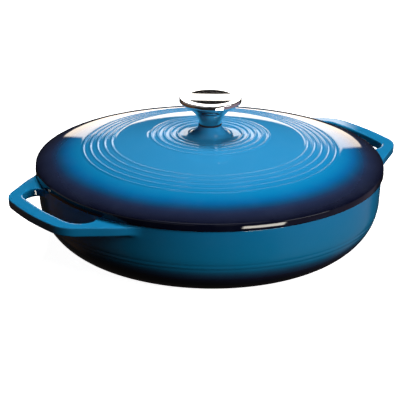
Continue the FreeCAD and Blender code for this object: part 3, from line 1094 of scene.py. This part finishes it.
@dataclass(frozen=True)
class Fastening:
    """The knob's gasket, screw and washer: shapes from the frame, with their finishes."""

    rubber: MouldedRubber = MouldedRubber()
    steel: TurnedMetal = TurnedMetal(
        "stainless_steel", (0.60, 0.60, 0.61), gloss=0.2, ring=0.12, depth=0.002, smudge=0.12
    )

    def build(self) -> None:
        """Dresses the three small pieces."""
        steel, rubber = self.steel.make(), self.rubber.make()
        finishes = {"knob_gasket": rubber, "knob_screw": steel, "screw_washer": steel}
        for name, material in finishes.items():
            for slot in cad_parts[name].material_slots:
                slot.material = material


# ---- The studio


@dataclass(frozen=True)
class Viewpoint:
    """Where the camera stands and looks, with the dish's origin on the floor."""

    azimuth: float = -37.0
    elevation: float = 20.43
    distance: float = 1.5
    roll: float = 0.6
    lens: float = 155.8
    sensor: float = 36.0
    farthest: float = 100.0
    target_height: float = 0.06
    aim_right: float = -0.00797
    aim_up: float = -0.0236

    def bearing(self, turn: float, rise: float) -> Vector:
        """Works out a direction from the dish.

        Args:
            turn: Degrees to the right of the camera.
            rise: Degrees above level.

        Returns:
            The direction, one metre long.
        """
        side = math.radians(self.azimuth + turn)
        lift = math.radians(rise)
        level = Vector((math.sin(side), -math.cos(side), 0.0)) * math.cos(lift)
        return level + Vector((0.0, 0.0, math.sin(lift)))

    def place_camera(self) -> None:
        """Adds the camera and makes it the scene's."""
        target = Vector((0.0, 0.0, self.target_height))
        outwards = self.bearing(0.0, self.elevation)
        stand = target + outwards * self.distance
        right = self.bearing(90.0, 0.0)
        aim = target + right * self.aim_right + outwards.cross(right) * self.aim_up
        back = (stand - aim).normalized()
        across = Vector((0.0, 0.0, 1.0)).cross(back).normalized()
        facing = Matrix((across, back.cross(across), back)).transposed().to_4x4()
        tilt = Matrix.Rotation(math.radians(self.roll), 4, "Z")
        bpy.ops.object.camera_add(location=stand)
        camera = bpy.context.active_object
        camera.name = "camera"
        camera.matrix_world = Matrix.Translation(stand) @ facing @ tilt
        camera.data.lens = self.lens
        camera.data.sensor_width = self.sensor
        camera.data.clip_end = self.farthest
        bpy.context.scene.camera = camera


@dataclass(frozen=True)
class Softbox:
    """One rectangular lamp that shades the dish, placed by its bearing from the camera's side.

    The gloss doesn't pick it up: that is what the sheets are for.
    """

    name: str
    turn: float
    rise: float
    distance: float
    width: float
    height: float
    power: float
    aim: float = 0.08

    def place(self, view: Viewpoint) -> None:
        """Adds the lamp, facing the dish.

        Args:
            view: The viewpoint that bearings count from.
        """
        target = Vector((0.0, 0.0, self.aim))
        stand = target + view.bearing(self.turn, self.rise) * self.distance
        bpy.ops.object.light_add(type="AREA", location=stand)
        lamp = bpy.context.active_object
        lamp.name = self.name
        lamp.rotation_euler = (stand - target).to_track_quat("Z", "Y").to_euler()
        lamp.data.shape = "RECTANGLE"
        lamp.data.size, lamp.data.size_y = self.width, self.height
        lamp.data.energy = self.power
        lamp.visible_camera = lamp.visible_glossy = False


@dataclass(frozen=True)
class Sheet:
    """A pale sheet of the room, by the turns and rises in degrees that bound it from the dish.

    Turns count to the right from straight behind the dish. A sheet with a sag hangs lower in the
    middle, by so many degrees for each square degree of turn.
    """

    left: float
    right: float
    low: float
    high: float
    light: Colour
    fade: float = 0.6
    sag: float = 0.0

    def shown(self, turn: Wire, rise: Wire) -> Wire:
        """Works out how much of the sheet a direction meets.

        Args:
            turn: The direction's turn.
            rise: The direction's rise.

        Returns:
            1 on the sheet and 0 off it, with soft borders.
        """
        level = rise - turn * turn * self.sag
        across = turn.above(self.left, self.fade) * turn.below(self.right, self.fade)
        return across * (level.above(self.low, self.fade) * level.below(self.high, self.fade))


@dataclass(frozen=True)
class Studio:
    """A pale floor, soft light from above and one side, and pale sheets that the gloss picks up."""

    view: Viewpoint = Viewpoint()
    dim: Colour = (0.018, 0.016, 0.015)
    sheets: tuple[Sheet, ...] = (
        Sheet(-11.5, 12.6, -10.0, 1.0, (3.1, 2.6, 2.1), sag=0.113),
        Sheet(-7.0, 4.4, 15.6, 19.6, (3.9, 3.7, 3.5), fade=0.8),
        Sheet(129.0, 157.0, -25.5, -16.5, (27.0, 25.5, 22.5), fade=2.5),
        Sheet(98.0, 130.0, -6.0, 6.0, (5.0, 5.0, 5.0), fade=3.0),
        Sheet(-125.0, -48.0, -48.0, -4.0, (0.07, 0.034, 0.016), fade=10.0),
        Sheet(35.0, 125.0, -50.0, -8.0, (0.24, 0.19, 0.24), fade=15.0),
        Sheet(-174.0, -62.0, -9.0, 23.0, (0.4, 0.4, 0.42), fade=5.0),
        Sheet(160.0, 174.0, -9.0, 23.0, (0.4, 0.4, 0.42), fade=5.0),
        Sheet(-181.0, 181.0, 68.0, 91.0, (1.3, 1.3, 1.35), fade=5.0),
    )
    lamps: tuple[Softbox, ...] = (
        Softbox("overhead", 176.0, 73.0, 1.7, 0.9, 0.7, 30.5),
        Softbox("side", 50.0, 22.0, 1.6, 0.8, 0.8, 20.0),
        Softbox("fill", -40.0, 35.0, 2.2, 1.6, 1.6, 1.2),
    )
    floor_size: float = 9.0
    floor_shade: float = 0.92
    floor_glow: float = 1.05
    backdrop_radius: float = 4.4
    backdrop_height: float = 6.0
    backdrop_shade: float = 0.9
    backdrop_glow: float = 1.0
    below_floor: float = 0.01

    @staticmethod
    def _paper(piece: bpy.types.Object, name: str, shade: float, glow: float) -> None:
        """Makes a stage piece of glowing paper that the dish neither mirrors nor is lit by.

        Args:
            piece: The floor or the backdrop.
            name: Its name.
            shade: The paper's paleness.
            glow: How strongly it glows.
        """
        pale = (shade, shade, shade, 1.0)
        bench = ShaderBench(f"studio_{name}")
        paper = bench.surface(
            Base_Color=pale, Roughness=0.95, Emission_Color=pale, Emission_Strength=glow
        )
        piece.name = name
        piece.data.materials.append(paper)
        piece.visible_glossy = piece.visible_diffuse = False

    def lay_floor(self) -> None:
        """Adds the floor."""
        bpy.ops.object.select_all(action="DESELECT")
        bpy.ops.mesh.primitive_grid_add(x_subdivisions=8, y_subdivisions=8, size=self.floor_size)
        self._paper(bpy.context.active_object, "floor", self.floor_shade, self.floor_glow)

    def hang_backdrop(self) -> None:
        """Hangs a pale paper all round, far behind the dish."""
        bpy.ops.object.select_all(action="DESELECT")
        height = self.backdrop_height
        bpy.ops.mesh.primitive_cylinder_add(
            vertices=96, radius=self.backdrop_radius, depth=height, end_fill_type="NOTHING",
            location=(0.0, 0.0, height / 2 - self.below_floor),
        )
        backdrop = bpy.context.active_object
        bpy.ops.object.shade_smooth()
        backdrop.visible_shadow = False
        self._paper(backdrop, "backdrop", self.backdrop_shade, self.backdrop_glow)

    def light_room(self) -> None:
        """Hangs pale sheets round a dim room, for the gloss only: the lamps do the shading."""
        world = bpy.data.worlds.new("studio_room")
        bpy.context.scene.world = world
        bench = Bench(world, "ShaderNodeOutputWorld")
        looking = bench.node("ShaderNodeTexCoord", {}, {}, "Generated")
        away, right = self.view.bearing(180.0, 0.0), self.view.bearing(90.0, 0.0)
        turn = bench.along(looking, right).turn(bench.along(looking, away))
        rise = bench.along(looking, (0.0, 0.0, 1.0)).lift()
        glow: list[Any] = list(self.dim)
        for sheet in self.sheets:
            shown = sheet.shown(turn, rise)
            glow = [shown * light + sum_so_far for light, sum_so_far in zip(sheet.light, glow)]
        colour = bench.node("ShaderNodeCombineXYZ", {}, dict(enumerate(glow)))
        room = bench.node("ShaderNodeBackground", {}, {0: colour})
        bench.tree.links.new(room.socket, bench.output.inputs[0])
        world.cycles_visibility.diffuse = False
        world.cycles.sampling_method = "NONE"

    def build(self) -> None:
        """Lays the floor, sets the lamps and the camera, and keeps colours unfiltered."""
        self.lay_floor()
        self.hang_backdrop()
        self.light_room()
        for lamp in self.lamps:
            lamp.place(self.view)
        self.view.place_camera()
        bpy.context.scene.view_settings.view_transform = "Standard"


def main() -> None:
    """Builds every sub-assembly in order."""
    logging.basicConfig(level=logging.INFO, format="%(name)s: %(message)s")
    for maker in (Pot(), Lid(), Knob()):
        piece = maker.build()
    Fastening().build()
    Studio().build()


if __name__ == "__main__":
    main()
